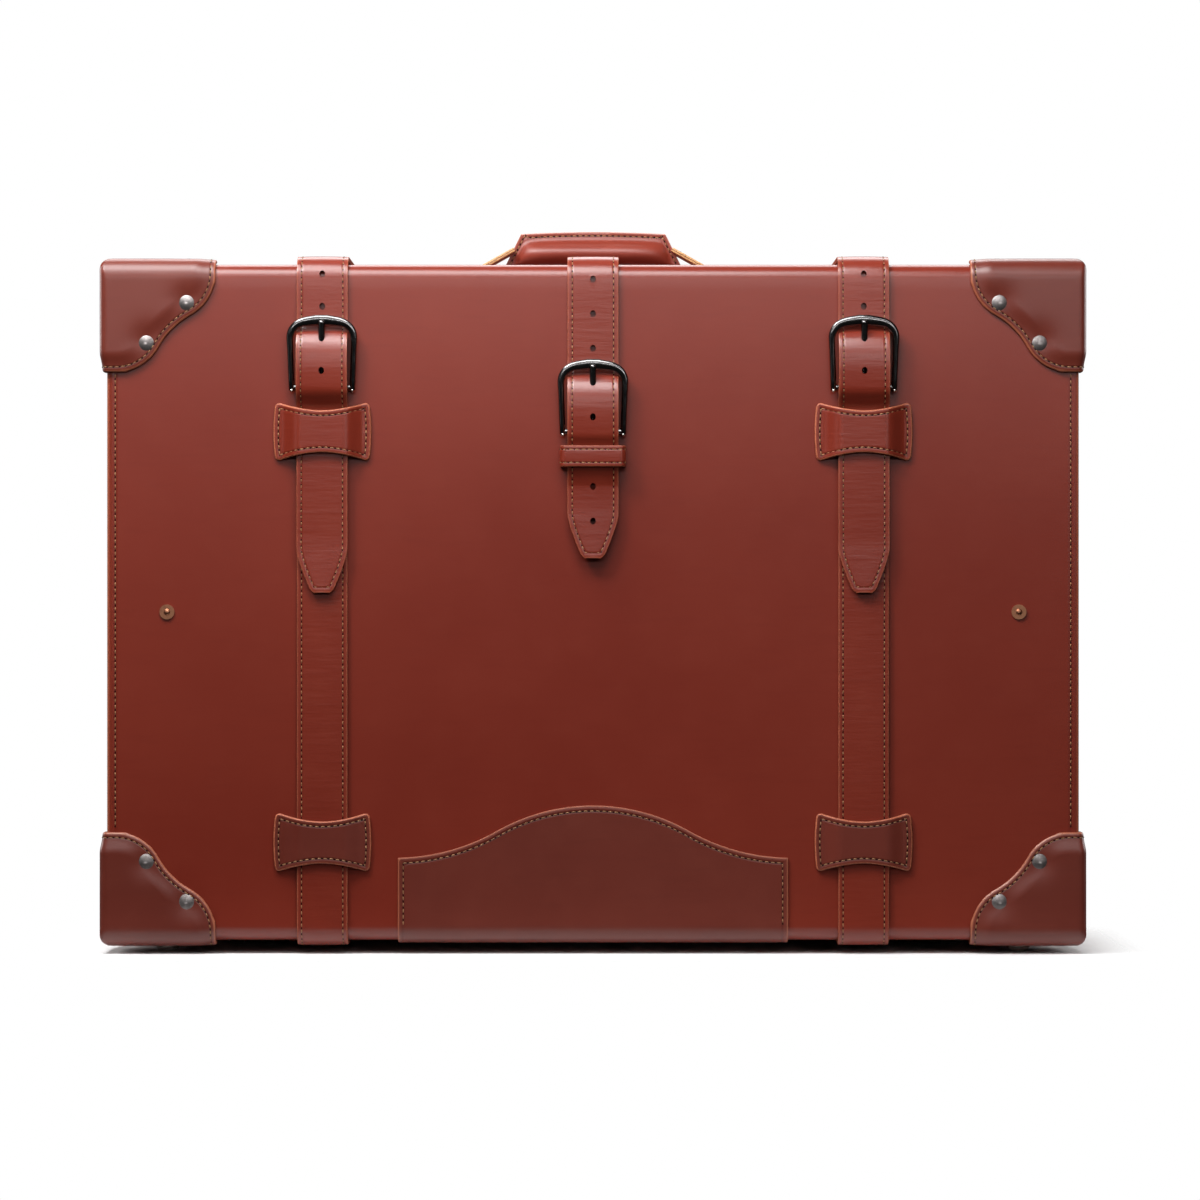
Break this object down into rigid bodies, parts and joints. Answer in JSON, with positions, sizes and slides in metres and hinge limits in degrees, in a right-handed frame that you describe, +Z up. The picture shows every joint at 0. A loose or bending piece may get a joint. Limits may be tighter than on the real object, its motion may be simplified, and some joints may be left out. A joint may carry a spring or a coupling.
{
  "type": "suitcase",
  "caption": "Reddish-brown leather suitcase standing on its long edge, with stitched corner caps, buckled straps held by bow-tie keepers and a padded handle.",
  "frame": {"origin": "on the floor, under the middle of the case's outer box", "axes": "+X along the width, to the right seen from the front; +Y to the back; +Z up"},
  "size_m": [0.6602, 0.2209, 0.493],
  "materials": {
    "case_leather": "smooth waxed leather with fine grain and a low sheen",
    "trim_leather": "thick moulded leather, burnished at its edges",
    "strap_leather": "bridle leather with stitched and burnished edges",
    "board": "plain unvarnished ply",
    "lining": "plain woven cotton",
    "rivet_nickel": "antique nickel, brushed and a little worn",
    "foot_nickel": "polished nickel",
    "copper": "aged copper",
    "hinge_steel": "dark brushed steel",
    "buckle_metal": "dark polished gunmetal",
    "core": "plain filler cord"
  },
  "bodies": {
    "base": {"base_back_board": "board", "base_bottom_board": "board", "base_top_board": "board", "base_end_boards": "board", "base_cover": "case_leather", "base_end_panels": "case_leather", "base_lining": "lining", "base_lip": "board", "base_feet": "foot_nickel", "base_cap_rivets": "rivet_nickel", "base_cap_top_left": "trim_leather", "base_cap_top_right": "trim_leather", "base_cap_bottom_left": "trim_leather", "base_cap_bottom_right": "trim_leather", "back_keepers": "trim_leather", "left_strap_back": "strap_leather", "centre_strap_back": "strap_leather", "right_strap_back": "strap_leather", "handle_loops": "hinge_steel", "handle_left_tail": "strap_leather", "handle_right_tail": "strap_leather", "top_rivets": "rivet_nickel", "hinge_base_leaves": "hinge_steel", "hinge_pins": "hinge_steel"},
    "lid": {"lid_front_board": "board", "lid_bottom_board": "board", "lid_top_board": "board", "lid_end_boards": "board", "lid_cover": "case_leather", "lid_end_panels": "case_leather", "lid_lining": "lining", "lid_patch": "trim_leather", "lid_feet": "foot_nickel", "lid_cap_rivets": "rivet_nickel", "lid_cap_top_left": "trim_leather", "lid_cap_top_right": "trim_leather", "lid_cap_bottom_left": "trim_leather", "lid_cap_bottom_right": "trim_leather", "left_keepers": "trim_leather", "right_keepers": "trim_leather", "left_strap_front": "strap_leather", "right_strap_front": "strap_leather", "centre_chape": "strap_leather", "centre_loop": "strap_leather", "document_strap": "strap_leather", "copper_rivets": "copper", "hinge_lid_leaves": "hinge_steel"},
    "left_strap": {"left_strap_end": "strap_leather"},
    "left_frame": {"left_buckle_frame": "buckle_metal"},
    "left_tongue": {"left_buckle_tongue": "buckle_metal"},
    "centre_strap": {"centre_strap_end": "strap_leather"},
    "centre_frame": {"centre_buckle_frame": "buckle_metal"},
    "centre_tongue": {"centre_buckle_tongue": "buckle_metal"},
    "right_strap": {"right_strap_end": "strap_leather"},
    "right_frame": {"right_buckle_frame": "buckle_metal"},
    "right_tongue": {"right_buckle_tongue": "buckle_metal"},
    "handle": {"handle_grip": "strap_leather", "handle_core": "core"}
  },
  "joints": [
    {"name": "lid_hinge", "type": "hinge", "parent": "base", "child": "lid", "pos_m": [0, -0.02095, 0.0054], "axis": [1, 0, 0], "range_deg": [0, 105]},
    {"name": "left_strap_lift", "type": "hinge", "parent": "base", "child": "left_strap", "pos_m": [-0.181, -0.08575, 0.4675], "axis": [-1, 0, 0], "range_deg": [0, 120], "deforming": ["left_strap_end"]},
    {"name": "left_frame_swing", "type": "hinge", "parent": "lid", "child": "left_frame", "pos_m": [-0.181, -0.1011, 0.379], "axis": [1, 0, 0], "range_deg": [0, 60]},
    {"name": "left_tongue_swing", "type": "hinge", "parent": "left_frame", "child": "left_tongue", "pos_m": [-0.181, -0.1011, 0.379], "axis": [1, 0, 0], "range_deg": [0, 60]},
    {"name": "centre_strap_lift", "type": "hinge", "parent": "base", "child": "centre_strap", "pos_m": [0, -0.08575, 0.4675], "axis": [-1, 0, 0], "range_deg": [0, 120], "deforming": ["centre_strap_end"]},
    {"name": "centre_frame_swing", "type": "hinge", "parent": "lid", "child": "centre_frame", "pos_m": [0, -0.1011, 0.3495], "axis": [1, 0, 0], "range_deg": [0, 60]},
    {"name": "centre_tongue_swing", "type": "hinge", "parent": "centre_frame", "child": "centre_tongue", "pos_m": [0, -0.1011, 0.3495], "axis": [1, 0, 0], "range_deg": [0, 60]},
    {"name": "right_strap_lift", "type": "hinge", "parent": "base", "child": "right_strap", "pos_m": [0.181, -0.08575, 0.4675], "axis": [-1, 0, 0], "range_deg": [0, 120], "deforming": ["right_strap_end"]},
    {"name": "right_frame_swing", "type": "hinge", "parent": "lid", "child": "right_frame", "pos_m": [0.181, -0.1011, 0.379], "axis": [1, 0, 0], "range_deg": [0, 60]},
    {"name": "right_tongue_swing", "type": "hinge", "parent": "right_frame", "child": "right_tongue", "pos_m": [0.181, -0.1011, 0.379], "axis": [1, 0, 0], "range_deg": [0, 60]},
    {"name": "handle_lift", "type": "slide", "parent": "base", "child": "handle", "axis": [0, 0, 1], "range_m": [0, 0.022], "deforming": ["handle_left_tail", "handle_right_tail"]}
  ]
}
